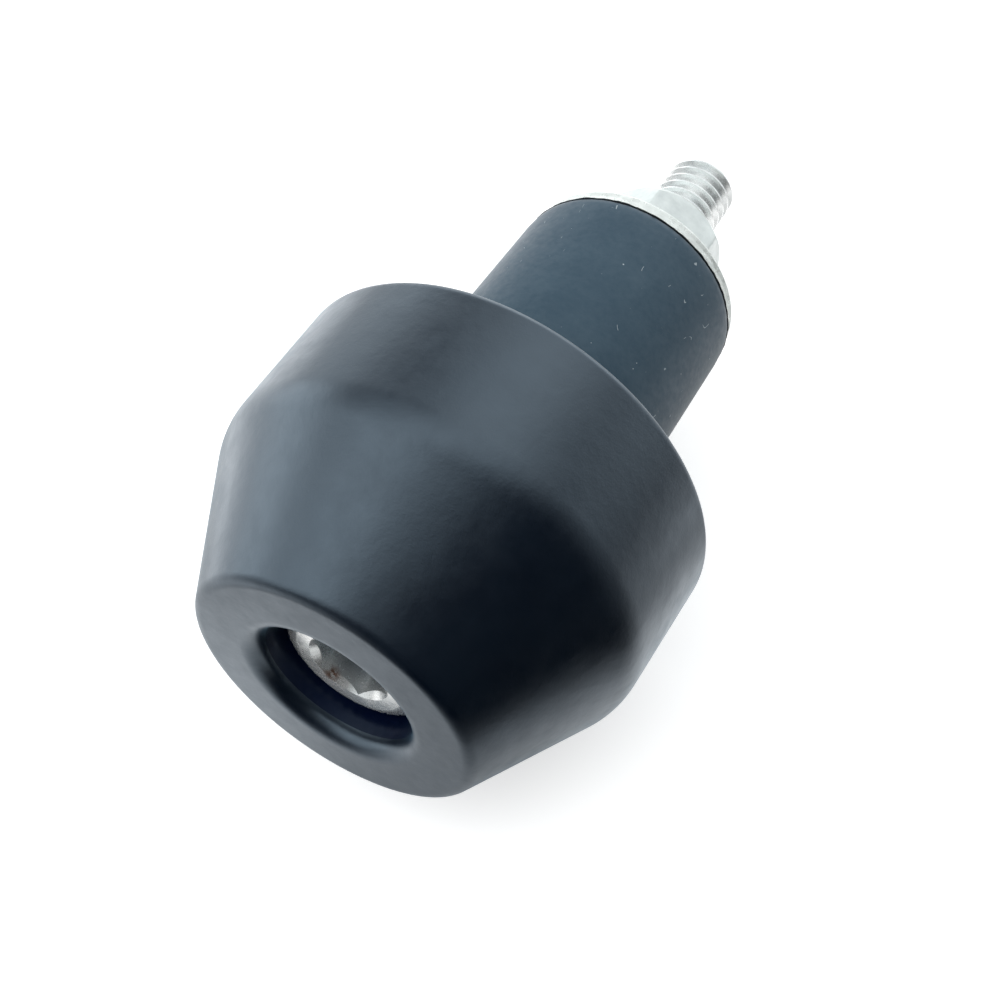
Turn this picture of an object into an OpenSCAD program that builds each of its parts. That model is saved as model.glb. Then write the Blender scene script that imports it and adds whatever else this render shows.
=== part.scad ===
// Bar end weight: a turned weight that a screw and a swelling rubber sleeve hold in the end of a handlebar.
// The axis runs along Y. The nose points to -Y, and Y = 0 is the rear face that the bar's end butts against.

/* [Weight] */
// Length of the weight from its nose to its rear face
body_len = 20.8; // [17:0.1:40]
// Length of the cone behind the nose, measured to the sharp shoulder
cone_len = 10.4; // [6:0.1:14]
// Diameter of the nose, at its corner before rounding
nose_d = 20; // [16:0.1:26]
// Diameter at the shoulder, before rounding
shoulder_d = 31.3; // [28:0.1:36]
// Diameter at the rear face, before rounding
back_d = 32; // [30:0.1:38]
// Radius that rounds the corner of the nose
nose_round = 1; // [0.3:0.1:1.5]
// Radius that blends the cone into the cylinder
shoulder_round = 5; // [1:0.5:10]
// Radius that breaks the rear edge
back_round = 0.6; // [0.2:0.1:1]
// Radius that rounds the mouth of the recess in the nose
mouth_round = 1.1; // [0.3:0.1:1.2]
// Depth of the rear seat that centres the sleeve
seat_depth = 1; // [0.5:0.1:2]

/* [Screw] */
// Thread diameter
screw_d = 6; // [5:0.5:8]
// Diameter of the head
head_d = 10; // [9.5:0.1:11]
// Height of the head
head_h = 6; // [5:0.1:8]
// Radius that rounds the top edge of the head
head_round = 0.5; // [0.2:0.1:0.8]
// Radius of the fillet under the head
head_fillet = 0.25; // [0.1:0.05:0.25]
// How far the top of the head lies below the nose
head_sunk = 2.2; // [1:0.1:4]
// Width across the flats of the hexagon socket
socket_af = 5; // [4:0.5:6]
// Depth of the hexagon socket, to the start of its drilled point
socket_depth = 3; // [2:0.1:4]
// Width of the bevel around the mouth of the socket
socket_bevel = 0.15; // [0.1:0.05:0.3]
// Angle of the drilled point under the socket
socket_point = 120; // [90:5:150]
// Angle of a corner of the socket, from +X towards +Z
socket_turn = 38; // [0:1:60]
// How far the thread stands out behind the nut
thread_proud = 7.6; // [3:0.1:20]
// Length of the bevel at the end of the thread
thread_bevel = 0.6; // [0.3:0.1:1]

/* [Sleeve] */
// Outer diameter of the sleeve
sleeve_d = 18; // [16:0.1:20]
// Length of the sleeve that stands out of the weight
sleeve_out = 20.2; // [12:0.1:40]

/* [Washers] */
// How far the flat washer's rim lies inside the sleeve's
flat_washer_in = 0.3; // [0.1:0.1:2]
// Thickness of the flat washer
flat_washer_t = 1.2; // [0.8:0.1:2]
// Width of the spring washer's wire
spring_wire_w = 2.5; // [1.5:0.1:3]
// Thickness of the spring washer's wire
spring_wire_t = 1.6; // [1.2:0.1:2]
// Gap between the ends of the spring washer
spring_gap = 0.8; // [0.4:0.1:1.5]
// Lean of that gap from the axis
spring_lean = 30; // [0:5:40]
// Angle of the gap, from +X towards +Z
spring_turn = 250; // [0:5:355]

/* [Nut] */
// Width across the flats of the nut
nut_af = 10; // [9.5:0.5:13]
// Height of the nut
nut_h = 5.2; // [4:0.1:8]
// Width of the ring left flat outside the bevel, off the width across flats
nut_face_in = 0.8; // [0.2:0.1:1]
// Angle of the bevel on the nut's corners
nut_bevel = 55; // [15:5:60]
// Widening of the nut's bore at both faces
nut_sink = 0.35; // [0.2:0.05:0.6]
// Angle of a corner of the nut, from +X towards +Z
nut_turn = 33; // [0:1:60]

/* [Clearances, on the radius] */
// Between the screw's head and the wall of the recess
head_clear = 0.5; // [0.2:0.1:1]
// Between the screw and the hole through the weight
hole_clear = 0.3; // [0.3:0.05:0.6]
// Between the sleeve and the wall of its seat
seat_clear = 0.1; // [0.05:0.05:0.3]
// Between the screw and the bore of the sleeve
sleeve_clear = 0.15; // [0.1:0.05:0.5]
// Between the screw and the hole of the flat washer
washer_clear = 0.2; // [0.1:0.05:0.5]
// Between the screw and the hole of the spring washer
spring_clear = 0.1; // [0.05:0.05:0.3]
// Between the thread and the nut, both drawn as plain cylinders
thread_clear = 0.05; // [0.02:0.01:0.1]

/* [Hidden] */
$fn = 96;
over = 0.5;

screw_r = screw_d / 2;
head_r = head_d / 2;
recess_r = head_r + head_clear;
seat_r = sleeve_d / 2 + seat_clear;
flat_washer_r = sleeve_d / 2 - flat_washer_in;

// Places along the axis, from the nose to the end of the thread
nose_y = -body_len;
shoulder_y = nose_y + cone_len;
head_top_y = nose_y + head_sunk;
head_seat_y = head_top_y + head_h;
sleeve_front_y = -seat_depth;
flat_washer_y = sleeve_out;
spring_washer_y = flat_washer_y + flat_washer_t;
nut_y = spring_washer_y + spring_wire_t;
nut_rear_y = nut_y + nut_h;
thread_end_y = nut_rear_y + thread_proud;

function unit(v) = v / norm(v);

// Half of the angle at corner b between its neighbours a and c
function half_angle(a, b, c) = acos(unit(a - b) * unit(c - b)) / 2;

// What a rounding of radius r takes off corner b, between its neighbours a and c
module corner_waste(a, b, c, r) {
    half = half_angle(a, b, c);
    run = r / tan(half);
    centre = b + unit(unit(a - b) + unit(c - b)) * r / sin(half);
    difference() {
        polygon([b, b + unit(a - b) * run, centre, b + unit(c - b) * run]);
        translate(centre) circle(r);
    }
}

// Section of a turned piece: points are [radius, place along the axis], rounds give each corner's radius
module section(points, rounds) {
    count = len(points);
    difference() {
        polygon(points);
        for (i = [0 : count - 1])
            if (rounds[i] > 0)
                corner_waste(points[(i + count - 1) % count], points[i], points[(i + 1) % count], rounds[i]);
    }
}

// Stands a piece that is drawn along Z on the Y axis, with its foot at that place
module along_y(at = 0) {
    translate([0, at, 0]) rotate([-90, 0, 0]) children();
}

module ring(outer_r, inner_r, height) {
    difference() {
        cylinder(r = outer_r, h = height);
        translate([0, 0, -over]) cylinder(r = inner_r, h = height + 2 * over);
    }
}

// Hexagonal bar with a corner at that angle from +X towards +Z, once it stands on the Y axis
module hexagon(across_flats, height, corner_at) {
    rotate([0, 0, -corner_at]) cylinder(d = across_flats / cos(30), h = height, $fn = 6);
}

module weight_body() {
    outline = [
        [screw_r + hole_clear, head_seat_y],
        [recess_r, head_seat_y],
        [recess_r, nose_y],
        [nose_d / 2, nose_y],
        [shoulder_d / 2, shoulder_y],
        [back_d / 2, 0],
        [seat_r, 0],
        [seat_r, -seat_depth],
        [screw_r + hole_clear, -seat_depth],
    ];
    rounds = [0, 0, mouth_round, nose_round, shoulder_round, back_round, 0, 0, 0];
    color("#24272c") along_y() rotate_extrude() section(outline, rounds);
}

module clamp_screw() {
    outline = [
        [0, head_top_y],
        [head_r, head_top_y],
        [head_r, head_seat_y],
        [screw_r, head_seat_y],
        [screw_r, thread_end_y - thread_bevel],
        [screw_r - thread_bevel, thread_end_y],
        [0, thread_end_y],
    ];
    rounds = [0, head_round, 0, 0, 0, 0, 0];
    color("#c4c8cb") difference() {
        along_y() rotate_extrude() {
            section(outline, rounds);
            under_head_fillet();
        }
        along_y(head_top_y) socket();
    }
}

module under_head_fillet() {
    difference() {
        translate([screw_r - over, head_seat_y - over]) square(head_fillet + over);
        translate([screw_r + head_fillet, head_seat_y + head_fillet]) circle(head_fillet);
    }
}

module socket() {
    point_r = socket_af / 2;
    mouth_r = socket_af / 2 / cos(30) + socket_bevel;
    translate([0, 0, -over]) hexagon(socket_af, socket_depth + over, socket_turn);
    translate([0, 0, socket_depth]) cylinder(r1 = point_r, r2 = 0, h = point_r / tan(socket_point / 2));
    translate([0, 0, -over]) cylinder(r1 = mouth_r + over, r2 = mouth_r - over, h = 2 * over);
}

module rubber_sleeve() {
    outline = [
        [screw_r + sleeve_clear, sleeve_front_y],
        [sleeve_d / 2 - seat_depth, sleeve_front_y],
        [sleeve_d / 2, 0],
        [sleeve_d / 2, sleeve_out],
        [screw_r + sleeve_clear, sleeve_out],
    ];
    color("#2b343c") along_y() rotate_extrude() polygon(outline);
}

module flat_washer() {
    color("#d2d6d6") along_y(flat_washer_y) ring(flat_washer_r, screw_r + washer_clear, flat_washer_t);
}

module spring_washer() {
    inner_r = screw_r + spring_clear;
    color("#b9bec1") along_y(spring_washer_y) difference() {
        ring(inner_r + spring_wire_w, inner_r, spring_wire_t);
        rotate([0, 0, -spring_turn]) translate([inner_r + spring_wire_w / 2, 0, spring_wire_t / 2])
            rotate([spring_lean, 0, 0])
                cube([spring_wire_w + 2 * over, spring_gap, 3 * spring_wire_t], center = true);
    }
}

module hex_nut() {
    bore_r = screw_r + thread_clear;
    face_r = (nut_af - nut_face_in) / 2;
    edge_r = nut_af / 2 / cos(30) + over;
    drop = (edge_r - face_r) * tan(nut_bevel);
    outline = [
        [bore_r, nut_sink],
        [bore_r + nut_sink, 0],
        [face_r, 0],
        [edge_r, drop],
        [edge_r, nut_h - drop],
        [face_r, nut_h],
        [bore_r + nut_sink, nut_h],
        [bore_r, nut_h - nut_sink],
    ];
    color("#c9d0d0") along_y(nut_y) intersection() {
        hexagon(nut_af, nut_h, nut_turn);
        rotate_extrude() polygon(outline);
    }
}

weight_body();
clamp_screw();
rubber_sleeve();
flat_washer();
spring_washer();
hex_nut();
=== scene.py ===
"""Looks of a bar end weight: a satin black turned weight, its socket-head screw, the rubber sleeve that
swells inside the handlebar, the washers and the nut. Sizes are in millimetres and are brought to metres
once a piece is finished. The axis runs along Y, the nose points to -Y and Y = 0 is the weight's rear face."""

import logging
import math
from dataclasses import dataclass, field
from enum import Enum

import bpy
from mathutils import Matrix, Vector

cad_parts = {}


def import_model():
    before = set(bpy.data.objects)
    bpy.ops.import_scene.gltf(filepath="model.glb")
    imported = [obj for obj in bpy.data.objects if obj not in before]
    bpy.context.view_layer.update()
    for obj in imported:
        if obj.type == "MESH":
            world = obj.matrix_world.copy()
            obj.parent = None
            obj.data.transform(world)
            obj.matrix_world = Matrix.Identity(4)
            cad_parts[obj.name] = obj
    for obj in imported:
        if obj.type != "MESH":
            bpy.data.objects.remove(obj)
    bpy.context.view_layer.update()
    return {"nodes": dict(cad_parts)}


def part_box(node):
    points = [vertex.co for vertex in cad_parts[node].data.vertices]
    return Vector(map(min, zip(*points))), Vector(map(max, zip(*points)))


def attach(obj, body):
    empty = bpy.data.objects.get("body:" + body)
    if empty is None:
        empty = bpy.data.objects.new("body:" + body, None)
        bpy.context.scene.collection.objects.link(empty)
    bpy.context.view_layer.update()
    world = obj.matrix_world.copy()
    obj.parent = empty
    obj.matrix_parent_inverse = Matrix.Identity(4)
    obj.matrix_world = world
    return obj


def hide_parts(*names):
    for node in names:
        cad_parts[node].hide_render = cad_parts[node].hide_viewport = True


LOG = logging.getLogger("bar_end_weight")
MM = 0.001
MERGE = 0.0005

Point = tuple[float, float]
Span = tuple[float, float]
Triple = tuple[float, float, float]
Colour = tuple[float, float, float]
Socket = bpy.types.NodeSocket


class Shaping(Enum):
    """Ways of shaping one solid with another."""

    CUT = "DIFFERENCE"
    TRIM = "INTERSECT"
    WELD = "UNION"


class Sum(Enum):
    """Sums that a material's nodes do."""

    ADD = "ADD"
    SUBTRACT = "SUBTRACT"
    MULTIPLY = "MULTIPLY"
    MAXIMUM = "MAXIMUM"
    ABSOLUTE = "ABSOLUTE"
    LESS_THAN = "LESS_THAN"


@dataclass
class Lathe:
    """Turns a piece about the object's axis, ring by ring, from one end of its outline to the other."""

    name: str
    steps: int = 144
    radius: float = 0.0
    place: float = 0.0
    capped: bool = False
    piece: bpy.types.Object = field(init=False, default=None)

    def start(self, radius: float, place: float) -> "Lathe":
        """Sets the first ring.

        Args:
            radius: the ring's radius.
            place: its place along the axis.

        Returns:
            The lathe, so that the cuts can follow.
        """
        deselect()
        bpy.ops.mesh.primitive_circle_add(vertices=self.steps, radius=radius, location=(0, place, 0),
                                          rotation=(math.pi / 2, 0, 0))
        self.piece = bpy.context.active_object
        self.piece.name = self.name
        bpy.ops.object.transform_apply(location=True, rotation=True, scale=True)
        bpy.ops.object.mode_set(mode="EDIT")
        bpy.ops.mesh.select_mode(type="VERT")
        bpy.ops.mesh.select_all(action="SELECT")
        self.radius, self.place = radius, place
        return self

    def cut(self, radius: float, place: float) -> "Lathe":
        """Draws the wall on to the next ring.

        Args:
            radius: the next ring's radius.
            place: its place along the axis.

        Returns:
            The lathe.
        """
        bpy.ops.mesh.extrude_region_move(TRANSFORM_OT_translate={"value": (0, place - self.place, 0)})
        grow = radius / self.radius
        bpy.ops.transform.resize(value=(grow, 1, grow), center_override=(0, place, 0))
        self.radius, self.place = radius, place
        return self

    def follow(self, outline: list[Point]) -> "Lathe":
        """Cuts along several points in turn.

        Args:
            outline: radius and place of each ring.

        Returns:
            The lathe.
        """
        for radius, place in outline:
            self.cut(radius, place)
        return self

    def walk(self, radius: float, place: float, rings: int) -> "Lathe":
        """Cuts a straight wall in even rings.

        Args:
            radius: the wall's radius.
            place: its far end along the axis.
            rings: number of rings.

        Returns:
            The lathe.
        """
        start = self.place
        return self.follow([(radius, start + (place - start) * i / rings) for i in range(1, rings + 1)])

    def notch(self, shares: tuple[float, ...]) -> "Lathe":
        """Draws the points of the present ring in or out by turns, as a knurl does.

        Args:
            shares: the factors on the radius of one point after another, which repeat round the ring.

        Returns:
            The lathe.
        """
        bpy.ops.object.mode_set(mode="OBJECT")
        points = self.piece.data.vertices
        ring = [v.index for v in points if v.select]
        ring.sort(key=lambda i: math.atan2(points[i].co.z, points[i].co.x))
        for turn, share in enumerate(shares):
            if share != 1:
                self.pick(ring[turn::len(shares)])
                bpy.ops.transform.resize(value=(share, 1, share), center_override=(0, self.place, 0))
                bpy.ops.object.mode_set(mode="OBJECT")
        self.pick(ring)
        return self

    def pick(self, points: list[int]) -> None:
        """Selects some points alone and goes on editing.

        Args:
            points: their numbers.
        """
        mesh = self.piece.data
        for part in (*mesh.vertices, *mesh.edges, *mesh.polygons):
            part.select = False
        for i in points:
            mesh.vertices[i].select = True
        bpy.ops.object.mode_set(mode="EDIT")

    def cap(self) -> "Lathe":
        """Fills the present ring with one face.

        Returns:
            The lathe.
        """
        bpy.ops.mesh.edge_face_add()
        self.capped = True
        return self

    def close(self) -> bpy.types.Object:
        """Joins the last ring to the first where neither is capped, and ends the turning.

        Returns:
            The turned piece, in object mode.
        """
        bpy.ops.mesh.select_all(action="SELECT")
        bpy.ops.mesh.remove_doubles(threshold=MERGE)
        if not self.capped:
            bpy.ops.mesh.select_all(action="DESELECT")
            bpy.ops.mesh.select_non_manifold()
            bpy.ops.mesh.bridge_edge_loops()
        bpy.ops.mesh.select_all(action="SELECT")
        bpy.ops.mesh.normals_make_consistent(inside=False)
        bpy.ops.object.mode_set(mode="OBJECT")
        return self.piece


def deselect() -> None:
    """Leaves edit mode and deselects every object."""
    if bpy.context.object and bpy.context.object.mode != "OBJECT":
        bpy.ops.object.mode_set(mode="OBJECT")
    bpy.ops.object.select_all(action="DESELECT")


def activate(piece: bpy.types.Object) -> None:
    """Selects one object alone and makes it the active one.

    Args:
        piece: the object.
    """
    deselect()
    piece.select_set(True)
    bpy.context.view_layer.objects.active = piece


def arc(centre: Point, radius: float, steps: int) -> list[Point]:
    """The rounding of a rear edge, as the points that follow its outermost one.

    Args:
        centre: radius and place of the rounding's centre.
        radius: the rounding's own radius.
        steps: number of chords.

    Returns:
        The points.
    """
    angles = [math.pi / 2 * i / steps for i in range(1, steps + 1)]
    return [(centre[0] + radius * math.cos(a), centre[1] + radius * math.sin(a)) for a in angles]


def rounded(corners: list[Triple], steps: int = 10, hold: float = 0.12) -> list[Point]:
    """Rounds the corners of an outline.

    Args:
        corners: radius, place and rounding of each corner.
        steps: number of chords on each rounding.
        hold: a ring this far from each rounding keeps the walls beside it flat.

    Returns:
        The outline's points.
    """
    points = []
    for i, (radius, place, rounding) in enumerate(corners):
        corner = Vector((radius, place))
        if not rounding:
            points.append((radius, place))
            continue
        before = (Vector(corners[i - 1][:2]) - corner).normalized()
        after = (Vector(corners[i + 1][:2]) - corner).normalized()
        half = before.angle(after) / 2
        reach = rounding / math.tan(half)
        centre = corner + (before + after).normalized() * rounding / math.sin(half)
        first, last = corner + before * reach - centre, corner + after * reach - centre
        sweep = first.angle_signed(last)
        points.append(tuple(corner + before * (reach + hold)))
        for step in range(steps + 1):
            spoke = first.copy()
            spoke.rotate(Matrix.Rotation(-sweep * step / steps, 2))
            points.append(tuple(centre + spoke))
        points.append(tuple(corner + after * (reach + hold)))
    return points


def prism(name: str, sides: int, radius: float, low: float, high: float, corner: float) -> bpy.types.Object:
    """Adds a prism that stands along the object's axis.

    Args:
        name: the object's name.
        sides: number of sides.
        radius: radius of its corners.
        low: place of its front face.
        high: place of its rear face.
        corner: angle of one corner in degrees, from +X towards +Z.

    Returns:
        The prism.
    """
    deselect()
    bpy.ops.mesh.primitive_cylinder_add(vertices=sides, radius=radius, depth=high - low, end_fill_type="NGON")
    tool = bpy.context.active_object
    tool.name = name
    first = tool.data.vertices[0].co
    lead = math.atan2(first.y, first.x) + math.radians(corner)
    tool.data.transform(Matrix.Rotation(-lead, 4, "Z"))
    tool.data.transform(Matrix.Rotation(-math.pi / 2, 4, "X"))
    tool.data.transform(Matrix.Translation((0, (low + high) / 2, 0)))
    return tool


def shape_with(piece: bpy.types.Object, tool: bpy.types.Object, way: Shaping) -> None:
    """Cuts, trims or welds a piece with a tool, and deletes the tool.

    Args:
        piece: the piece that is shaped.
        tool: the other solid.
        way: how the tool shapes it.
    """
    activate(piece)
    change = piece.modifiers.new("shape", "BOOLEAN")
    change.operation, change.object, change.solver = way.value, tool, "EXACT"
    bpy.ops.object.modifier_apply(modifier=change.name)
    bpy.data.objects.remove(tool)


def roughen(piece: bpy.types.Object, name: str, points: list[int], grain: float, octaves: int,
            depth: float) -> None:
    """Pushes some points in unevenly.

    Args:
        piece: the piece.
        name: what the roughness is called.
        points: the points' numbers.
        grain: size of its lumps.
        octaves: number of finer layers.
        depth: how far it pushes at its middle.
    """
    group = piece.vertex_groups.new(name=name)
    group.add(points, 1.0, "REPLACE")
    texture = bpy.data.textures.new(name, "CLOUDS")
    texture.noise_scale, texture.noise_depth = grain, octaves
    push = piece.modifiers.new(name, "DISPLACE")
    push.texture, push.strength, push.mid_level = texture, -2 * depth, 0.0
    push.vertex_group, push.texture_coords = group.name, "LOCAL"
    activate(piece)
    bpy.ops.object.modifier_apply(modifier=push.name)
    piece.vertex_groups.clear()


def put_in_place(piece: bpy.types.Object, node: str, sharp: float) -> None:
    """Brings a modelled piece from millimetres to metres, shades it and lets it replace its solid.

    Args:
        piece: the piece.
        node: the solid.
        sharp: edges sharper than this many degrees stay sharp.
    """
    activate(piece)
    piece.scale = (MM, MM, MM)
    bpy.ops.object.transform_apply(location=True, rotation=True, scale=True)
    bpy.ops.object.shade_smooth_by_angle(angle=math.radians(sharp))
    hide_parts(node)
    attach(piece, "root")


def dress(piece: bpy.types.Object, material: bpy.types.Material) -> None:
    """Gives a piece its material.

    Args:
        piece: the piece.
        material: its finish.
    """
    piece.data.materials.clear()
    piece.data.materials.append(material)


def triangles(piece: bpy.types.Object) -> int:
    """The number of triangles in a piece."""
    return sum(len(p.vertices) - 2 for p in piece.data.polygons)


class Nodes:
    """Builds a node tree from short calls."""

    def __init__(self, name: str) -> None:
        """Starts a material.

        Args:
            name: the material's name.
        """
        self.material = bpy.data.materials.new(name)
        self.material.use_nodes = True
        self.tree = self.material.node_tree
        self.tree.nodes.clear()
        self.output = self.add("ShaderNodeOutputMaterial")
        self.coords = self.add("ShaderNodeTexCoord").outputs["Object"]

    def add(self, kind: str, **settings: str) -> bpy.types.Node:
        """Adds a node.

        Args:
            kind: the node's type.
            settings: its properties.

        Returns:
            The node.
        """
        node = self.tree.nodes.new(kind)
        for key, value in settings.items():
            setattr(node, key, value)
        return node

    def link(self, source: Socket, target: Socket) -> None:
        """Links an output to an input."""
        self.tree.links.new(source, target)

    def stretched(self, scale: Triple) -> Socket:
        """Object coordinates whose patterns are drawn out.

        Args:
            scale: the scale along X, Y and Z.

        Returns:
            The coordinates.
        """
        mapping = self.add("ShaderNodeMapping")
        mapping.inputs["Scale"].default_value = scale
        self.link(self.coords, mapping.inputs["Vector"])
        return mapping.outputs["Vector"]

    def noise(self, size: float, detail: float = 4.0, rough: float = 0.6,
              vector: Socket | None = None) -> Socket:
        """Noise whose grains are about size millimetres across.

        Args:
            size: the size of a grain, in millimetres.
            detail: number of finer octaves.
            rough: strength of each octave.
            vector: coordinates, or None for the object's own.

        Returns:
            The noise's factor.
        """
        node = self.add("ShaderNodeTexNoise")
        node.inputs["Scale"].default_value = 1 / (size * MM)
        node.inputs["Detail"].default_value = detail
        node.inputs["Roughness"].default_value = rough
        self.link(vector or self.coords, node.inputs["Vector"])
        return node.outputs["Fac"]

    def ramp(self, source: Socket, low: float, high: float, start: float = 0.0, end: float = 1.0) -> Socket:
        """Maps a value from low..high to start..end, held at both ends.

        Args:
            source: the value.
            low: the value that gives start.
            high: the value that gives end.
            start: the result at low.
            end: the result at high.

        Returns:
            The result.
        """
        node = self.add("ShaderNodeMapRange")
        node.inputs["From Min"].default_value = low
        node.inputs["From Max"].default_value = high
        node.inputs["To Min"].default_value = start
        node.inputs["To Max"].default_value = end
        self.link(source, node.inputs["Value"])
        return node.outputs["Result"]

    def math(self, operation: Sum, first: Socket | float, second: Socket | float = 0.0) -> Socket:
        """Does a sum.

        Args:
            operation: the kind of sum.
            first: the first value, an output or a number.
            second: the second value.

        Returns:
            The result.
        """
        node = self.add("ShaderNodeMath", operation=operation.value)
        for socket, value in zip(node.inputs, (first, second)):
            if isinstance(value, (int, float)):
                socket.default_value = value
            else:
                self.link(value, socket)
        return node.outputs["Value"]

    def tint(self, factor: Socket, base: Socket | Colour, over: Colour) -> Socket:
        """Mixes a colour over another.

        Args:
            factor: how much of the second shows.
            base: the first, a colour or an output.
            over: the second colour.

        Returns:
            The mixed colour.
        """
        # A Mix node has sockets of one name for each kind of value, so the colours are found by number.
        node = self.add("ShaderNodeMix", data_type="RGBA")
        first, second = node.inputs[6], node.inputs[7]
        if isinstance(base, tuple):
            first.default_value = (*base, 1)
        else:
            self.link(base, first)
        second.default_value = (*over, 1)
        self.link(factor, node.inputs["Factor"])
        return node.outputs[2]

    def specks(self, spacing: float, size: float, share: float) -> Socket:
        """Small scattered dots.

        Args:
            spacing: mean distance between them, in millimetres.
            size: their radius, in millimetres.
            share: the share of places that hold one.

        Returns:
            A factor that is 1 on a dot.
        """
        cells = self.add("ShaderNodeTexVoronoi")
        cells.inputs["Scale"].default_value = 1 / (spacing * MM)
        self.link(self.coords, cells.inputs["Vector"])
        near = self.ramp(cells.outputs["Distance"], size / spacing * 0.6, size / spacing, 1, 0)
        split = self.add("ShaderNodeSeparateColor")
        self.link(cells.outputs["Color"], split.inputs["Color"])
        chosen = self.math(Sum.LESS_THAN, split.outputs["Red"], share)
        faded = self.ramp(split.outputs["Green"], 0, 1, 0.25, 1)
        return self.math(Sum.MULTIPLY, self.math(Sum.MULTIPLY, near, chosen), faded)

    def place(self) -> Socket:
        """The place of a point along the object's axis.

        Returns:
            The place, in metres.
        """
        split = self.add("ShaderNodeSeparateXYZ")
        self.link(self.coords, split.inputs["Vector"])
        return split.outputs["Y"]

    def near(self, spot: Triple, full: float, reach: float) -> Socket:
        """How near the surface is to a spot.

        Args:
            spot: the spot.
            full: distance up to which it is 1.
            reach: distance from which it is 0.

        Returns:
            The nearness.
        """
        away = self.add("ShaderNodeVectorMath", operation="DISTANCE")
        self.link(self.coords, away.inputs[0])
        away.inputs[1].default_value = tuple(c * MM for c in spot)
        return self.ramp(away.outputs["Value"], full * MM, reach * MM, 1, 0)

    def bump(self, height: Socket, distance: float, strength: float, below: Socket | None = None) -> Socket:
        """A bump from a height.

        Args:
            height: the height, from 0 to 1.
            distance: its full height, in millimetres.
            strength: how much of it shows.
            below: another bump's normal, or None.

        Returns:
            The normal.
        """
        node = self.add("ShaderNodeBump")
        node.inputs["Distance"].default_value = distance * MM
        node.inputs["Strength"].default_value = strength
        self.link(height, node.inputs["Height"])
        if below is not None:
            self.link(below, node.inputs["Normal"])
        return node.outputs["Normal"]

    def shader(self, colour: Socket, roughness: Socket, normal: Socket,
               **fixed: float | tuple) -> bpy.types.Material:
        """Ends the material with one shader.

        Args:
            colour: output of the base colour.
            roughness: output of the roughness.
            normal: output of the bump.
            fixed: values set on the shader's own sockets, with _ for a space.

        Returns:
            The material.
        """
        shader = self.add("ShaderNodeBsdfPrincipled")
        self.link(colour, shader.inputs["Base Color"])
        self.link(roughness, shader.inputs["Roughness"])
        self.link(normal, shader.inputs["Normal"])
        for key, value in fixed.items():
            shader.inputs[key.replace("_", " ")].default_value = value
        self.link(shader.outputs["BSDF"], self.output.inputs["Surface"])
        return self.material


@dataclass(frozen=True)
class BlackCoating:
    """Satin black coating with a fine grain, a slow waviness and a little dust. Grains are in millimetres."""

    name: str = "black_coating"
    base: Colour = (0.0003, 0.0022, 0.0080)
    worn: Colour = (0.0013, 0.0046, 0.0115)
    gloss: float = 1.0
    index: float = 1.7
    dust: Colour = (0.20, 0.22, 0.25)
    dust_share: float = 0.10
    dust_strength: float = 0.6
    shine: Colour = (0.68, 0.85, 1.0)
    haze: Colour = (0.45, 0.76, 1.0)
    haze_weight: float = 0.2
    haze_spread: float = 0.25
    roughness: Span = (0.29, 0.38)
    wear_grain: float = 5.0
    mottle_grain: float = 1.6
    brush_grain: float = 0.45
    brush_share: float = 0.25
    fine_grain: float = 0.16
    fine_relief: float = 0.008
    wave_grain: float = 1.5
    wave_relief: float = 0.05

    def material(self) -> bpy.types.Material:
        """Builds the material.

        Returns:
            The material.
        """
        n = Nodes(self.name)
        colour = n.tint(n.ramp(n.noise(self.wear_grain, 3.0), 0.35, 0.7), self.base, self.worn)
        dots = n.math(Sum.MULTIPLY, n.specks(1.3, 0.035, self.dust_share), self.dust_strength)
        colour = n.tint(dots, colour, self.dust)
        cloudy = n.math(Sum.MULTIPLY, n.noise(self.mottle_grain, 4.0), 1 - self.brush_share)
        brushed = n.noise(self.brush_grain, 3.0, 0.6, n.stretched((1, 0.16, 1)))
        mottle = n.math(Sum.ADD, cloudy, n.math(Sum.MULTIPLY, brushed, self.brush_share))
        rough = n.ramp(mottle, 0.35, 0.65, *self.roughness)
        waves = n.bump(n.noise(self.wave_grain, 5.0, 0.65), self.wave_relief, 0.55)
        normal = n.bump(n.noise(self.fine_grain, 3.0, 0.7), self.fine_relief, 0.5, waves)
        return n.shader(colour, rough, normal, Specular_IOR_Level=self.gloss, IOR=self.index,
                        Specular_Tint=(*self.shine, 1), Sheen_Weight=self.haze_weight,
                        Sheen_Roughness=self.haze_spread, Sheen_Tint=(*self.haze, 1))


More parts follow.
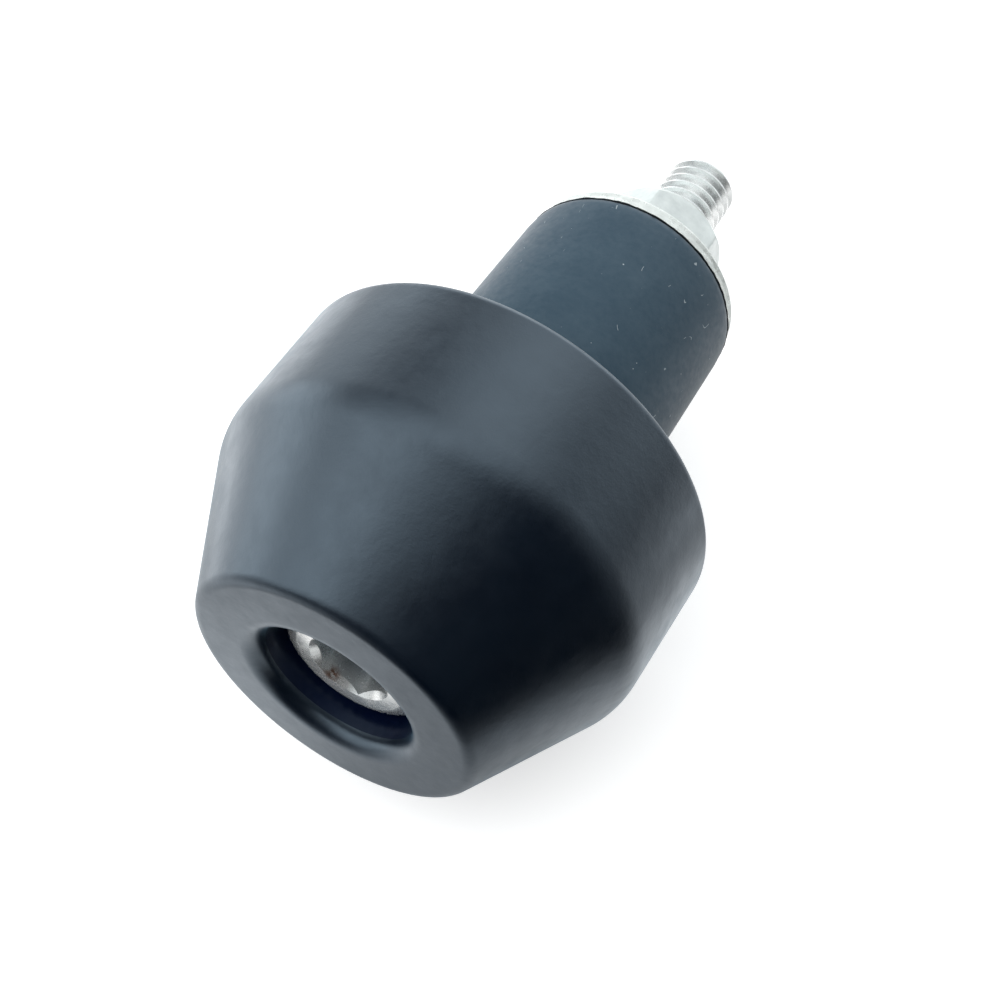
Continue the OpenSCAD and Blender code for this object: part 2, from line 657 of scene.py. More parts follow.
@dataclass(frozen=True)
class SleeveRubber:
    """Matte black rubber that holds dust, short fibres and scuffs. Grains are in millimetres."""

    name: str = "sleeve_rubber"
    base: Colour = (0.007, 0.035, 0.062)
    scuffed: Colour = (0.019, 0.050, 0.078)
    gloss: float = 0.87
    index: float = 1.5
    shine: Colour = (0.72, 0.88, 1.0)
    haze_weight: float = 0.3
    haze_spread: float = 0.3
    dust: Colour = (0.75, 0.82, 0.85)
    dust_strength: float = 0.8
    lint_width: float = 0.009
    lint_strength: float = 0.7
    cut: Colour = (0.002, 0.002, 0.003)
    cut_roughness: float = 0.95
    cut_from: float = 0.12
    cut_full: float = 0.06
    ragged: float = 0.45
    roughness: Span = (0.46, 0.62)
    scuff_grain: float = 3.2
    rough_grain: float = 0.5
    fine_grain: float = 0.12
    fine_relief: float = 0.006
    wave_grain: float = 1.6
    wave_relief: float = 0.03

    def material(self, rim: float) -> bpy.types.Material:
        """Builds the material.

        Args:
            rim: place along the axis of the cut end, in millimetres.

        Returns:
            The material.
        """
        n = Nodes(self.name)
        colour = n.tint(n.ramp(n.noise(self.scuff_grain, 5.0, 0.65), 0.42, 0.72), self.base, self.scuffed)
        dots = n.math(Sum.MAXIMUM, n.specks(0.7, 0.045, 0.3), n.specks(2.1, 0.065, 0.4))
        specks = n.math(Sum.MAXIMUM, dots, self.lint(n))
        colour = n.tint(n.math(Sum.MULTIPLY, specks, self.dust_strength), colour, self.dust)
        torn = n.math(Sum.MULTIPLY, n.noise(0.5, 3.0), self.ragged * MM)
        start, full = (rim - self.cut_from) * MM, (rim - self.cut_full) * MM
        edge = n.ramp(n.math(Sum.ADD, n.place(), torn), start, full)
        colour = n.tint(edge, colour, self.cut)
        rough = n.ramp(n.noise(self.rough_grain, 4.0), 0.3, 0.7, *self.roughness)
        rough = n.math(Sum.MAXIMUM, rough, n.ramp(edge, 0, 1, 0, self.cut_roughness))
        waves = n.bump(n.noise(self.wave_grain, 3.0), self.wave_relief, 0.25)
        normal = n.bump(n.noise(self.fine_grain, 3.0, 0.7), self.fine_relief, 0.5, waves)
        return n.shader(colour, rough, normal, Specular_IOR_Level=self.gloss, IOR=self.index,
                        Specular_Tint=(*self.shine, 1), Sheen_Weight=self.haze_weight,
                        Sheen_Roughness=self.haze_spread)

    def lint(self, n: Nodes) -> Socket:
        """Short pale fibres, where one noise crosses its middle inside the patches of another.

        Args:
            n: the material in the making.

        Returns:
            A factor that is highest on a fibre.
        """
        fibre = n.noise(1.3, 1.0, 0.5, n.stretched((1, 0.5, 1)))
        thin = n.ramp(n.math(Sum.ABSOLUTE, n.math(Sum.SUBTRACT, fibre, 0.5)), 0.0, self.lint_width, 1, 0)
        patch = n.ramp(n.noise(1.0, 1.0), 0.66, 0.69)
        return n.math(Sum.MULTIPLY, n.math(Sum.MULTIPLY, thin, patch), self.lint_strength)


@dataclass(frozen=True)
class Zinc:
    """Zinc plating over steel, from bright to dull. Grains are in millimetres."""

    name: str
    bright: Colour = (0.86, 0.88, 0.88)
    dull: Colour = (0.62, 0.66, 0.67)
    dull_grain: float = 1.8
    roughness: Span = (0.16, 0.32)
    rough_grain: float = 0.7
    fine_grain: float = 0.25
    fine_relief: float = 0.006
    pit: Colour = (0.22, 0.22, 0.21)
    pit_share: float = 0.12
    pit_strength: float = 0.5
    metal: float = 0.9

    def material(self) -> bpy.types.Material:
        """Builds the material.

        Returns:
            The material.
        """
        n = Nodes(self.name)
        colour = n.tint(n.ramp(n.noise(self.dull_grain), 0.35, 0.65), self.bright, self.dull)
        pits = n.math(Sum.MULTIPLY, n.specks(0.55, 0.04, self.pit_share), self.pit_strength)
        colour = self.stain(n, n.tint(pits, colour, self.pit))
        rough = n.ramp(n.noise(self.rough_grain), 0.3, 0.7, *self.roughness)
        normal = n.bump(n.noise(self.fine_grain, 4.0, 0.65), self.fine_relief, 0.4)
        return n.shader(colour, rough, normal, Metallic=self.metal)

    def stain(self, n: Nodes, colour: Socket) -> Socket:
        """A place for a tint in one spot. Plain plating has none.

        Args:
            n: the material in the making.
            colour: its colour so far.

        Returns:
            The colour with the tint.
        """
        return colour


@dataclass(frozen=True)
class RustedZinc(Zinc):
    """Zinc plating with a breath of rust at one spot and painted shade in the socket. Lengths are in
    millimetres.
    """

    rust: Colour = (0.26, 0.12, 0.07)
    rust_spot: Triple = (0.0, 0.0, 0.0)
    rust_reach: Span = (0.2, 0.7)
    # Painted shade: a dark blue-grey laid over the zinc near a point deep in the hexagon socket.
    painted_shade: Colour = (0.20, 0.245, 0.28)
    painted_shade_spot: Triple = (0.0, 0.0, 0.0)
    painted_shade_reach: Span = (2.4, 3.05)
    painted_shade_strength: float = 0.85

    def stain(self, n: Nodes, colour: Socket) -> Socket:
        """Tints the surface around the rusty spot, and darkens it in the socket with painted shade.

        Args:
            n: the material in the making.
            colour: its colour so far.

        Returns:
            The colour with the painted shade and the rust.
        """
        # Painted shade: darkens the zinc near a point inside the socket, where shade falls.
        painted_shade = n.math(Sum.MULTIPLY, n.near(self.painted_shade_spot, *self.painted_shade_reach), self.painted_shade_strength)
        broken = n.ramp(n.noise(0.35), 0.35, 0.5)
        rust = n.math(Sum.MULTIPLY, n.near(self.rust_spot, *self.rust_reach), broken)
        return n.tint(rust, n.tint(painted_shade, colour, self.painted_shade), self.rust)


@dataclass
class Weight:
    """The turned black weight with its recess, bore and seat."""

    node: str = "weight_body"
    nose_r: float = 10.0
    nose_round: float = 1.0
    shoulder_r: float = 15.65
    shoulder: float = -10.4
    shoulder_round: float = 5.0
    back_r: float = 16.0
    back_round: float = 0.6
    recess_r: float = 5.5
    mouth_round: float = 1.1
    head_seat: float = -12.6
    bore_r: float = 3.3
    seat_r: float = 9.1
    seat_depth: float = 1.0
    ridge: float = 0.04
    ridge_end: float = 1.5
    ridge_step: float = 0.15
    ridge_steps: int = 8
    shade_start: float = 0.1
    slack: float = 0.02
    finish: BlackCoating = BlackCoating()
    # Painted shade: a darker, bluer, less glossy copy of the coating for the recess wall.
    shaded: BlackCoating = BlackCoating("recess_painted_shade", base=(0.0004, 0.0024, 0.0160),
                                        worn=(0.0008, 0.0036, 0.0210), gloss=0.5, index=1.5)

    def build(self, nose: float) -> bpy.types.Object:
        """Turns the weight.

        Args:
            nose: place of the nose's face.

        Returns:
            The weight.
        """
        outline = rounded([
            (self.seat_r, -self.seat_depth, 0), (self.bore_r, -self.seat_depth, 0),
            (self.bore_r, self.head_seat, 0), (self.recess_r, self.head_seat, 0), *self.swelling(nose),
            (self.recess_r, nose, self.mouth_round), (self.nose_r, nose, self.nose_round),
            (self.shoulder_r, self.shoulder, self.shoulder_round), (self.back_r, 0, self.back_round),
            (self.seat_r, 0, 0),
        ])
        piece = Lathe("weight_body_visual", 216).start(self.seat_r, 0).follow(outline[:-1]).close()
        put_in_place(piece, self.node, 35)
        dress(piece, self.finish.material())
        self.shade_recess(piece, nose)
        return piece

    def shade_recess(self, piece: bpy.types.Object, nose: float) -> None:
        """Gives the recess wall a darker, bluer, less glossy copy of the coating: painted shade.

        Args:
            piece: the weight.
            nose: place of the nose's face.
        """
        piece.data.materials.append(self.shaded.material())
        start, end = nose + self.mouth_round + self.shade_start, self.head_seat + self.slack
        for face in piece.data.polygons:
            middle = face.center / MM
            if math.hypot(middle.x, middle.z) < self.recess_r + self.slack and start < middle.y < end:
                face.material_index = 1

    def swelling(self, nose: float) -> list[Triple]:
        """A faint swelling that runs round the recess behind its mouth.

        Args:
            nose: place of the nose's face.

        Returns:
            Corners of the outline.
        """
        end = nose + self.mouth_round + self.ridge_end
        corners = []
        for step in range(self.ridge_steps + 1):
            share = (1 - math.cos(2 * math.pi * step / self.ridge_steps)) / 2
            corners.append((self.recess_r - self.ridge * share, end - self.ridge_step * step, 0))
        return corners


@dataclass(frozen=True)
class Thread:
    """A right-hand metric thread, with a flat crest and a flat root."""

    crest_r: float = 2.95
    root_r: float = 2.38
    pitch: float = 1.0
    crest_flat: float = 0.16
    root_flat: float = 0.25
    steps: int = 64

    def rod(self, name: str, low: float, high: float) -> bpy.types.Object:
        """Makes a threaded rod with flat ends.

        Args:
            name: the object's name.
            low: place of its front end.
            high: place of its rear end.

        Returns:
            The rod.
        """
        deselect()
        bpy.ops.mesh.primitive_plane_add(size=1)
        rod = bpy.context.active_object
        rod.name = name
        bpy.ops.object.mode_set(mode="EDIT")
        bpy.ops.mesh.select_mode(type="VERT")
        bpy.ops.mesh.select_all(action="SELECT")
        bpy.ops.mesh.merge(type="CENTER")
        bpy.ops.transform.translate(value=(self.root_r, 0, 0))
        depth, half_root = self.crest_r - self.root_r, self.root_flat / 2
        flank = (self.pitch - self.crest_flat - self.root_flat) / 2
        ridge = ((0, half_root), (depth, flank), (0, self.crest_flat), (-depth, flank), (0, half_root))
        for out, along in ridge:
            bpy.ops.mesh.extrude_region_move(TRANSFORM_OT_translate={"value": (out, 0, along)})
        bpy.ops.object.mode_set(mode="OBJECT")
        turns = math.ceil((high - low) / self.pitch) + 2
        helix = rod.modifiers.new("helix", "SCREW")
        helix.axis, helix.screw_offset, helix.iterations = "Z", self.pitch, turns
        helix.steps = helix.render_steps = self.steps
        helix.use_merge_vertices, helix.merge_threshold = True, MERGE / 5
        bpy.ops.object.modifier_apply(modifier=helix.name)
        bpy.ops.object.mode_set(mode="EDIT")
        bpy.ops.mesh.select_all(action="SELECT")
        bpy.ops.mesh.remove_doubles(threshold=MERGE)
        foot = 1.2 * self.pitch
        for place, inner, outer in ((foot, True, False), (foot + high - low, False, True)):
            bpy.ops.mesh.select_all(action="SELECT")
            bpy.ops.mesh.bisect(plane_co=(0, 0, place), plane_no=(0, 0, 1), use_fill=True,
                                clear_inner=inner, clear_outer=outer, threshold=0.00001)
        bpy.ops.mesh.select_all(action="SELECT")
        bpy.ops.mesh.normals_make_consistent(inside=False)
        bpy.ops.object.mode_set(mode="OBJECT")
        rod.data.transform(Matrix.Translation((0, 0, low - foot)))
        rod.data.transform(Matrix.Rotation(-math.pi / 2, 4, "X"))
        return rod


@dataclass
class Screw:
    """The socket-head screw: a knurled head, a hexagon socket, a plain shank and a threaded end."""

    node: str = "clamp_screw"
    head_r: float = 5.0
    head_h: float = 6.0
    head_top: float = -18.6
    face_r: float = 3.95
    dome: float = 0.6
    dome_steps: int = 9
    knurl_from: int = 3
    knurl_teeth: int = 48
    knurl_depth: float = 0.28
    knurl_flank: float = 0.45
    foot_length: float = 0.6
    foot_in: float = 0.3
    shank_r: float = 2.95
    socket_af: float = 5.0
    socket_depth: float = 3.0
    socket_bevel: float = 0.05
    socket_turn: float = 38.0
    thread_from: float = 10.0
    overlap: float = 0.02
    rust_spot: Triple = (-1.6, 0.15, -2.1)
    # Depth in the socket of the point around which shade is painted.
    painted_shade_depth: float = 1.9
    thread: Thread = Thread()

    def build(self, end: float) -> bpy.types.Object:
        """Models the screw.

        Args:
            end: place of the thread's end.

        Returns:
            The screw.
        """
        shaft = self.shaft(end)
        head = self.head()
        self.cut_socket(head)
        shape_with(head, shaft, Shaping.WELD)
        put_in_place(head, self.node, 28)
        x, y, z = self.rust_spot
        # The screw's zinc, with a rust spot and painted shade deep in the socket.
        zinc = RustedZinc("screw_zinc", bright=(0.96, 0.97, 0.96), dull=(0.82, 0.85, 0.85), metal=0.8,
                          roughness=(0.18, 0.30), rust_spot=(x, self.head_top + y, z),
                          painted_shade_spot=(0.0, self.head_top + self.painted_shade_depth, 0.0))
        dress(head, zinc.material())
        return head

    def head(self) -> bpy.types.Object:
        """Turns the head with its knurl, and a short neck that the shank joins.

        Returns:
            The head.
        """
        top, seat = self.head_top, self.head_top + self.head_h
        notch = self.knurl_depth / self.head_r
        shares = (1.0, 1 - notch * self.knurl_flank, 1 - notch, 1 - notch * self.knurl_flank)
        rim = []
        for step in range(self.dome_steps + 1):
            lean = math.pi / 2 * step / self.dome_steps
            out = math.sin(lean)
            fall = (out + 1 - math.cos(lean)) / 2
            rim.append((self.face_r + (self.head_r - self.face_r) * out, top + self.dome * fall))
        smooth, knurled = rim[:self.knurl_from + 1], rim[self.knurl_from + 1:]
        lathe = Lathe("clamp_screw_visual", len(shares) * self.knurl_teeth).start(1.0, top).cap()
        lathe.follow([(self.face_r - 0.1, top), *smooth]).notch(shares).follow(knurled)
        lathe.cut(self.head_r, seat - self.foot_length).cut(self.head_r - self.foot_in, seat)
        lathe.notch(tuple(1 / share for share in shares))
        lathe.cut(self.shank_r, seat).cut(self.shank_r, seat + 1).cap()
        return lathe.close()

    def cut_socket(self, head: bpy.types.Object) -> None:
        """Cuts the hexagon, its drilled point and the bevel of its mouth.

        Args:
            head: the head.
        """
        flat_r, bottom = self.socket_af / 2, self.head_top + self.socket_depth
        corner_r = flat_r / math.cos(math.pi / 6)
        hexagon = prism("socket_hexagon", 6, corner_r, self.head_top - 1, bottom, self.socket_turn)
        shape_with(head, hexagon, Shaping.CUT)
        point = Lathe("socket_point", 48).start(flat_r - self.overlap, bottom - self.overlap / 2).cap()
        point.cut(self.overlap, bottom + flat_r * math.tan(math.pi / 6)).cap()
        shape_with(head, point.close(), Shaping.CUT)
        mouth_r = corner_r + self.socket_bevel
        mouth = Lathe("socket_mouth", 48).start(mouth_r + 0.5, self.head_top - 0.5).cap()
        shape_with(head, mouth.cut(mouth_r - 0.5, self.head_top + 0.5).cap().close(), Shaping.CUT)

    def shaft(self, end: float) -> bpy.types.Object:
        """Makes the plain shank and the threaded end with its bevel.

        Args:
            end: place of the thread's end.

        Returns:
            The shaft.
        """
        shaft = self.thread.rod("screw_shaft", self.thread_from, end)
        crest_r, root_r, clear = self.thread.crest_r, self.thread.root_r, 0.05
        bevel = end - (crest_r - root_r) - clear
        envelope = Lathe("bevel_envelope", 64).start(crest_r + 1 + clear, self.thread_from - 1).cap()
        envelope.follow([(crest_r + 1 + clear, bevel - 1), (crest_r + clear, bevel), (root_r, end)]).cap()
        shape_with(shaft, envelope.close(), Shaping.TRIM)
        plain = Lathe("plain_shank", 64).start(self.shank_r, self.head_top + self.head_h + 0.5).cap()
        plain.cut(self.shank_r, self.thread_from + self.overlap).cap()
        shape_with(shaft, plain.close(), Shaping.WELD)
        return shaft


@dataclass
class Sleeve:
    """The rubber sleeve, with a chamfered front and a raggedly cut rear rim.

    Close to the rim its wall is drawn in by lip_depth. lip gives each ring's share of that depth, and the
    ring's distance from the rim's rounding.
    """

    node: str = "rubber_sleeve"
    outer_r: float = 9.0
    bore_r: float = 3.15
    chamfer: float = 1.0
    rings: int = 24
    rim_round: float = 0.14
    lip_depth: float = 0.08
    lip: tuple[Point, ...] = ((0.0, 1.2), (0.5, 0.6), (1.0, 0.2), (1.0, 0.12), (0.0, 0.0))
    ragged: float = 0.07
    finish: SleeveRubber = SleeveRubber()

    def build(self, front: float, rear: float) -> bpy.types.Object:
        """Models the sleeve.

        Args:
            front: place of its front end.
            rear: place of its rear end.

        Returns:
            The sleeve.
        """
        shoulder, start = rear - self.rim_round, front + self.chamfer
        lathe = Lathe("rubber_sleeve_visual", 288).start(self.bore_r, front)
        lathe.cut(self.outer_r - self.chamfer, front).cut(self.outer_r, start)
        lathe.walk(self.outer_r, shoulder - self.lip[0][1], self.rings)
        for share, back in self.lip[1:]:
            lathe.cut(self.outer_r - self.lip_depth * share, shoulder - back)
        lathe.follow(arc((self.outer_r - self.rim_round, shoulder), self.rim_round, 4))
        piece = lathe.cut(self.bore_r, rear).close()
        self.tear_rim(piece, rear)
        put_in_place(piece, self.node, 50)
        dress(piece, self.finish.material(rear))
        return piece

    def tear_rim(self, piece: bpy.types.Object, rear: float) -> None:
        """Pushes the rear rim in unevenly, as a blunt cut leaves it.

        Args:
            piece: the sleeve.
            rear: place of its rear end.
        """
        rim = [v.index for v in piece.data.vertices
               if v.co.y > rear - self.rim_round - 0.16 and math.hypot(v.co.x, v.co.z) > 0.9 * self.outer_r]
        roughen(piece, "torn_rim", rim, 0.55, 3, self.ragged)


@dataclass
class FlatWasher:
    """The broad washer, with a rounded punch side and a sheared, broken rim."""

    node: str = "flat_washer"
    outer_r: float = 8.7
    hole_r: float = 3.2
    thickness: float = 1.2
    rings: int = 5
    edge_in: float = 0.08
    edge_length: float = 0.06
    roll: float = 0.25
    shear: float = 0.10

    def build(self, front: float) -> bpy.types.Object:
        """Models the washer.

        Args:
            front: place of its front face.

        Returns:
            The washer.
        """
        rear = front + self.thickness
        lathe = Lathe("flat_washer_visual", 240).start(self.hole_r, front)
        lathe.cut(self.outer_r - self.edge_in, front)
        lathe.cut(self.outer_r - self.edge_in / 8, front + self.edge_length)
        lathe.walk(self.outer_r, rear - self.roll, self.rings)
        lathe.follow(arc((self.outer_r - self.roll, rear - self.roll), self.roll, 5))
        piece = lathe.cut(self.hole_r, rear).close()
        self.break_rim(piece, front)
        put_in_place(piece, self.node, 40)
        zinc = Zinc("washer_zinc", bright=(0.94, 0.98, 0.95), dull=(0.74, 0.79, 0.76), metal=0.3,
                    roughness=(0.2, 0.42), fine_grain=0.2, fine_relief=0.05)
        dress(piece, zinc.material())
        return piece

    def break_rim(self, piece: bpy.types.Object, front: float) -> None:
        """Roughens the sheared half of the rim.

        Args:
            piece: the washer.
            front: place of its front face.
        """
        rim = [v.index for v in piece.data.vertices if math.hypot(v.co.x, v.co.z) > self.outer_r - 0.05
               and v.co.y < front + 0.75 * self.thickness]
        roughen(piece, "sheared_rim", rim, 0.35, 4, self.shear)


@dataclass
class SpringWasher:
    """The split spring washer, pressed flat."""

    node: str = "spring_washer"
    inner_r: float = 3.1
    wire_w: float = 2.5
    wire_t: float = 1.6
    edge: float = 0.12
    gap: float = 0.8
    lean: float = 30.0
    turn: float = 250.0

    def build(self, front: float) -> bpy.types.Object:
        """Models the washer.

        Args:
            front: place of its front face.

        Returns:
            The washer.
        """
        outer, inner, rear, e = self.inner_r + self.wire_w, self.inner_r, front + self.wire_t, self.edge
        lathe = Lathe("spring_washer_visual", 128).start(inner + e, front).cut(outer - e, front)
        lathe.follow([(outer, front + e), (outer, rear - e), (outer - e, rear), (inner + e, rear)])
        lathe.follow([(inner, rear - e), (inner, front + e)])
        piece = lathe.close()
        shape_with(piece, self.slit(front), Shaping.CUT)
        put_in_place(piece, self.node, 35)
        zinc = Zinc("spring_zinc", bright=(0.72, 0.73, 0.73), dull=(0.46, 0.48, 0.49))
        dress(piece, zinc.material())
        return piece

    def slit(self, front: float) -> bpy.types.Object:
        """The leaning block that cuts the gap.

        Args:
            front: place of the washer's front face.

        Returns:
            The block.
        """
        deselect()
        bpy.ops.mesh.primitive_cube_add(size=1)
        block = bpy.context.active_object
        block.data.transform(Matrix.Diagonal((self.wire_w + 1, self.gap, 3 * self.wire_t, 1)))
        block.data.transform(Matrix.Rotation(math.radians(self.lean), 4, "X"))
        block.data.transform(Matrix.Translation((self.inner_r + self.wire_w / 2, 0, self.wire_t / 2)))
        block.data.transform(Matrix.Rotation(-math.radians(self.turn), 4, "Z"))
        block.data.transform(Matrix.Rotation(-math.pi / 2, 4, "X"))
        block.data.transform(Matrix.Translation((0, front, 0)))
        return block


@dataclass
class Nut:
    """The hexagon nut, bevelled on both faces."""

    node: str = "hex_nut"
    across_flats: float = 10.0
    height: float = 5.2
    face_in: float = 0.8
    bevel: float = 55.0
    turn: float = 33.0
    bore_r: float = 3.05
    sink: float = 0.35
    clear: float = 0.3
    corner_round: float = 0.25

    def build(self, front: float) -> bpy.types.Object:
        """Models the nut.

        Args:
            front: place of its front face.

        Returns:
            The nut.
        """
        rear = front + self.height
        corner_r = self.across_flats / 2 / math.cos(math.pi / 6)
        piece = prism("hex_nut_visual", 6, corner_r, front, rear, self.turn)
        self.ease_corners(piece)
        shape_with(piece, self.turned_bevel(front, rear, corner_r), Shaping.TRIM)
        put_in_place(piece, self.node, 12)
        zinc = Zinc("nut_zinc", bright=(0.84, 0.89, 0.875), dull=(0.68, 0.73, 0.72), metal=0.45,
                    roughness=(0.28, 0.42), pit_share=0.06)
        dress(piece, zinc.material())
        return piece

    def ease_corners(self, piece: bpy.types.Object) -> None:
        """Rounds the six long corners a little.

        Args:
            piece: the bare hexagon.
        """
        activate(piece)
        bpy.ops.object.mode_set(mode="EDIT")
        bpy.ops.mesh.select_all(action="DESELECT")
        bpy.ops.object.mode_set(mode="OBJECT")
        for edge in piece.data.edges:
            first, last = (piece.data.vertices[i].co.y for i in edge.vertices)
            edge.select = abs(first - last) > self.height / 2
        bpy.ops.object.mode_set(mode="EDIT")
        bpy.ops.mesh.select_mode(type="EDGE")
        bpy.ops.mesh.bevel(offset=self.corner_round, segments=3, affect="EDGES")
        bpy.ops.object.mode_set(mode="OBJECT")

    def turned_bevel(self, front: float, rear: float, corner_r: float) -> bpy.types.Object:
        """The turned solid that gives the nut its bevels and its bore.

        Args:
            front: place of its front face.
            rear: place of its rear face.
            corner_r: radius of the corners.

        Returns:
            The turned solid.
        """
        face_r = (self.across_flats - self.face_in) / 2
        edge_r = corner_r + self.clear
        drop = (edge_r - face_r) * math.tan(math.radians(self.bevel))
        lathe = Lathe("nut_bevel", 192).start(self.bore_r, front + self.sink)
        lathe.follow([(self.bore_r + self.sink, front), (face_r, front), (edge_r, front + drop)])
        lathe.follow([(edge_r, rear - drop), (face_r, rear), (self.bore_r + self.sink, rear)])
        return lathe.cut(self.bore_r, rear - self.sink).close()


def direction(azimuth: float, elevation: float) -> Vector:
    """The way to a place in the surroundings.

    Args:
        azimuth: degrees from +Y, with 90 towards +X.
        elevation: degrees above the floor.

    Returns:
        The direction.
    """
    a, e = math.radians(azimuth), math.radians(elevation)
    return Vector((math.sin(a) * math.cos(e), math.cos(a) * math.cos(e), math.sin(e)))


@dataclass(frozen=True)
class Glow:
    """A soft bright region of the surroundings. Angles are in degrees."""

    azimuth: float
    elevation: float
    reach: float
    level: float


@dataclass(frozen=True)
class Patch:
    """A soft bright place on the floor, as the object's gloss sees it. Lengths are in millimetres.

    Its azimuth and distance are measured from the point under the object's middle.
    """

    azimuth: float
    distance: float
    reach: float
    level: float
    middle: float = -8.0

    def spot(self, floor_z: float) -> Vector:
        """Its centre.

        Args:
            floor_z: the floor's height.

        Returns:
            The centre, in metres.
        """
        return (direction(self.azimuth, 0) * self.distance + Vector((0, self.middle, floor_z))) * MM


@dataclass(frozen=True)
class Fill:
    """A broad soft lamp, which the gloss doesn't mirror."""

    azimuth: float = -176.0
    elevation: float = 48.0
    power: float = 1.5
    spread: float = 70.0

    def place(self) -> None:
        """Puts the lamp up."""
        data = bpy.data.lights.new("fill", "SUN")
        data.energy, data.angle = self.power, math.radians(self.spread)
        lamp = bpy.data.objects.new("fill", data)
        lamp.rotation_euler = direction(self.azimuth, self.elevation).to_track_quat("Z", "Y").to_euler()
        lamp.visible_glossy = False
        bpy.context.scene.collection.objects.link(lamp)


class Room(Nodes):
    """The surroundings' node tree."""

    def __init__(self, name: str) -> None:
        """Starts the surroundings.

        Args:
            name: the world's name.
        """
        self.world = bpy.data.worlds.new(name)
        bpy.context.scene.world = self.world
        self.world.use_nodes = True
        self.tree = self.world.node_tree
        self.tree.nodes.clear()
        self.output = self.add("ShaderNodeOutputWorld")
        self.coords = self.add("ShaderNodeTexCoord").outputs["Generated"]

    def glow(self, glow: Glow) -> Socket:
        """The light of one region.

        Args:
            glow: the region.

        Returns:
            Its strength in each direction.
        """
        along = self.add("ShaderNodeVectorMath", operation="DOT_PRODUCT")
        self.link(self.coords, along.inputs[0])
        along.inputs[1].default_value = direction(glow.azimuth, glow.elevation)
        spread = self.add("ShaderNodeMapRange", interpolation_type="SMOOTHSTEP")
        spread.inputs["From Min"].default_value = math.cos(math.radians(glow.reach))
        spread.inputs["To Max"].default_value = glow.level
        self.link(along.outputs["Value"], spread.inputs["Value"])
        return spread.outputs["Result"]


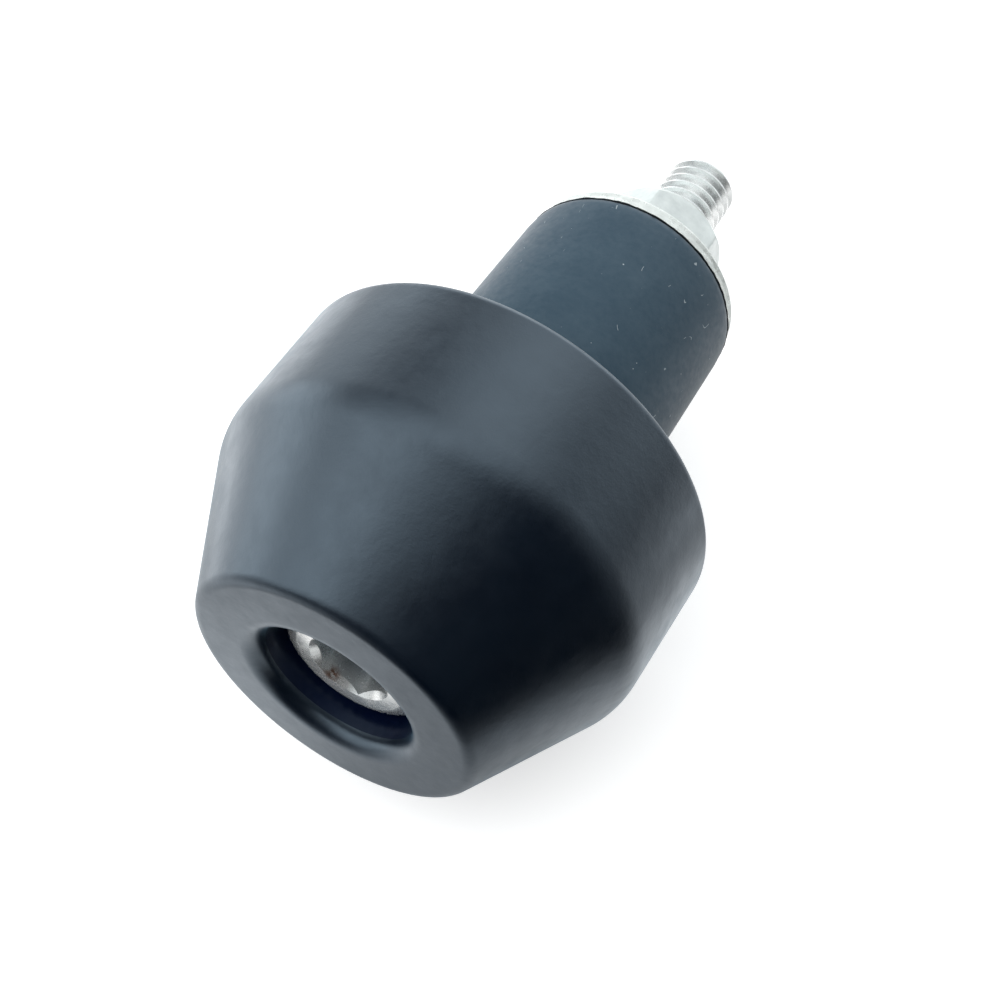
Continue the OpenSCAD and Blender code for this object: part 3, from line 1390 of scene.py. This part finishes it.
@dataclass
class Studio:
    """The pale floor, the soft surroundings and the camera."""

    floor_z: float = -16.0
    floor_half: float = 400.0
    floor_colour: Colour = (0.80, 0.80, 0.80)
    floor_grain: float = 30.0
    floor_shade: float = 0.99
    floor_lift: float = 0.5
    room: float = 0.02
    tint: Colour = (0.95, 0.985, 1.0)
    camera_place: Triple = (28.51, -50.39, 68.99)
    camera_right: Triple = (0.8729, 0.4879, 0.0)
    camera_up: Triple = (-0.3814, 0.6823, 0.6237)
    lens: float = 46.48
    fill: Fill = Fill()
    glows: tuple[Glow, ...] = (
        Glow(-150, 8, 32, 0.08), Glow(-120, 8, 32, 0.49), Glow(-90, 8, 32, 1.81), Glow(-60, 8, 32, 0.74),
        Glow(-30, 8, 32, 1.24), Glow(0, 8, 32, 1.26), Glow(30, 8, 32, 0.91), Glow(60, 8, 32, 0.19),
        Glow(-135, 38, 34, 1.07), Glow(-90, 38, 34, 0.08), Glow(-45, 38, 34, 0.2), Glow(0, 38, 34, 0.74),
        Glow(45, 38, 34, 0.14), Glow(-180, 64, 34, 0.29), Glow(-108, 64, 34, 0.64), Glow(36, 64, 34, 0.67),
        Glow(0, 88, 34, 0.56),
    )
    patches: tuple[Patch, ...] = (
        Patch(-180, 24, 24, 0.67), Patch(-150, 24, 24, 0.48), Patch(-120, 24, 24, 1.2),
        Patch(-60, 24, 24, 1.47), Patch(0, 24, 24, 1.25), Patch(60, 24, 24, 1.35), Patch(120, 24, 24, 0.75),
        Patch(-135, 65, 45, 1.54), Patch(-90, 65, 45, 2.51), Patch(-45, 65, 45, 2.17), Patch(0, 65, 45, 1.6),
        Patch(45, 65, 45, 1.22), Patch(-150, 170, 125, 0.63), Patch(-105, 170, 125, 2.02),
        Patch(-60, 170, 125, 2.97), Patch(-15, 170, 125, 1.88), Patch(30, 170, 125, 1.55),
        Patch(75, 170, 125, 0.19),
    )

    def build(self) -> None:
        """Sets up everything around the object."""
        bpy.context.scene.view_settings.view_transform = "Standard"
        self.set_camera()
        self.lay_floor()
        self.fill_room()
        self.fill.place()

    def set_camera(self) -> None:
        """Places the camera where the photograph was taken from."""
        data = bpy.data.cameras.new("camera")
        data.sensor_fit, data.sensor_width, data.lens = "HORIZONTAL", 36, self.lens
        data.clip_start, data.clip_end = 0.002, 20
        camera = bpy.data.objects.new("camera", data)
        right, up = Vector(self.camera_right).normalized(), Vector(self.camera_up)
        up = (up - up.dot(right) * right).normalized()
        back = right.cross(up)
        turn = Matrix((right, up, back)).transposed()
        camera.matrix_world = Matrix.Translation(Vector(self.camera_place) * MM) @ turn.to_4x4()
        bpy.context.scene.collection.objects.link(camera)
        bpy.context.scene.camera = camera

    def lay_floor(self) -> None:
        """Lays the pale floor, which shows white where no shadow falls on it."""
        deselect()
        bpy.ops.mesh.primitive_plane_add(size=2 * self.floor_half * MM, location=(0, 0, self.floor_z * MM))
        floor = bpy.context.active_object
        floor.name = "floor"
        bpy.ops.object.transform_apply(location=True, rotation=False, scale=False)
        floor.data.materials.append(self.paper())

    def paper(self) -> bpy.types.Material:
        """The floor's matt paper, lifted to white for the eye and lit in patches for the object's gloss.

        Returns:
            The material.
        """
        n = Nodes("floor_paper")
        matte = n.add("ShaderNodeBsdfDiffuse")
        grain = n.ramp(n.noise(self.floor_grain, 3.0), 0.0, 1.0)
        darker = tuple(self.floor_shade * c for c in self.floor_colour)
        n.link(n.tint(grain, darker, self.floor_colour), matte.inputs["Color"])
        path = n.add("ShaderNodeLightPath")
        lift = n.add("ShaderNodeEmission")
        n.link(n.math(Sum.MULTIPLY, path.outputs["Is Camera Ray"], self.floor_lift), lift.inputs["Strength"])
        seen = n.add("ShaderNodeAddShader")
        n.link(matte.outputs["BSDF"], seen.inputs[0])
        n.link(lift.outputs["Emission"], seen.inputs[1])
        mirrored = n.add("ShaderNodeEmission")
        n.link(self.floor_glow(n), mirrored.inputs["Strength"])
        either = n.add("ShaderNodeMixShader")
        n.link(path.outputs["Is Glossy Ray"], either.inputs["Fac"])
        n.link(seen.outputs["Shader"], either.inputs[1])
        n.link(mirrored.outputs["Emission"], either.inputs[2])
        n.link(either.outputs["Shader"], n.output.inputs["Surface"])
        return n.material

    def floor_glow(self, n: Nodes) -> Socket:
        """How bright the floor looks in the object's gloss.

        Args:
            n: the floor's material in the making.

        Returns:
            The brightness.
        """
        total = 0.0
        for patch in self.patches:
            away = n.add("ShaderNodeVectorMath", operation="DISTANCE")
            n.link(n.coords, away.inputs[0])
            away.inputs[1].default_value = patch.spot(self.floor_z)
            spread = n.add("ShaderNodeMapRange", interpolation_type="SMOOTHSTEP")
            spread.inputs["From Min"].default_value = patch.reach * MM
            spread.inputs["From Max"].default_value = 0
            spread.inputs["To Max"].default_value = patch.level
            n.link(away.outputs["Value"], spread.inputs["Value"])
            total = n.math(Sum.ADD, total, spread.outputs["Result"])
        return total

    def fill_room(self) -> None:
        """Makes the surroundings white to the eye and softly lit from some sides to the object."""
        n = Room("room")
        total = self.room
        for glow in self.glows:
            total = n.math(Sum.ADD, total, n.glow(glow))
        path = n.add("ShaderNodeLightPath")
        strength = n.add("ShaderNodeMix", data_type="FLOAT")
        n.link(path.outputs["Is Camera Ray"], strength.inputs["Factor"])
        n.link(total, strength.inputs["A"])
        strength.inputs["B"].default_value = 1.0
        colour = n.tint(path.outputs["Is Camera Ray"], self.tint, (1.0, 1.0, 1.0))
        light = n.add("ShaderNodeBackground")
        n.link(strength.outputs[0], light.inputs["Strength"])
        n.link(colour, light.inputs["Color"])
        n.link(light.outputs["Background"], n.output.inputs["Surface"])


def main() -> None:
    """Loads the frame and builds the pieces in the order of their assembly."""
    logging.basicConfig(level=logging.INFO, format="%(message)s")
    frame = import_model()
    Studio().build()
    ends = {name: (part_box(name)[0].y / MM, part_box(name)[1].y / MM) for name in frame["nodes"]}
    pieces = [
        Weight().build(ends["weight_body"][0]),
        Screw().build(ends["clamp_screw"][1]),
        Sleeve().build(*ends["rubber_sleeve"]),
        FlatWasher().build(ends["flat_washer"][0]),
        SpringWasher().build(ends["spring_washer"][0]),
        Nut().build(ends["hex_nut"][0]),
    ]
    for piece in pieces:
        LOG.info("%s: %d triangles", piece.name, triangles(piece))
    deselect()


if __name__ == "__main__":
    main()
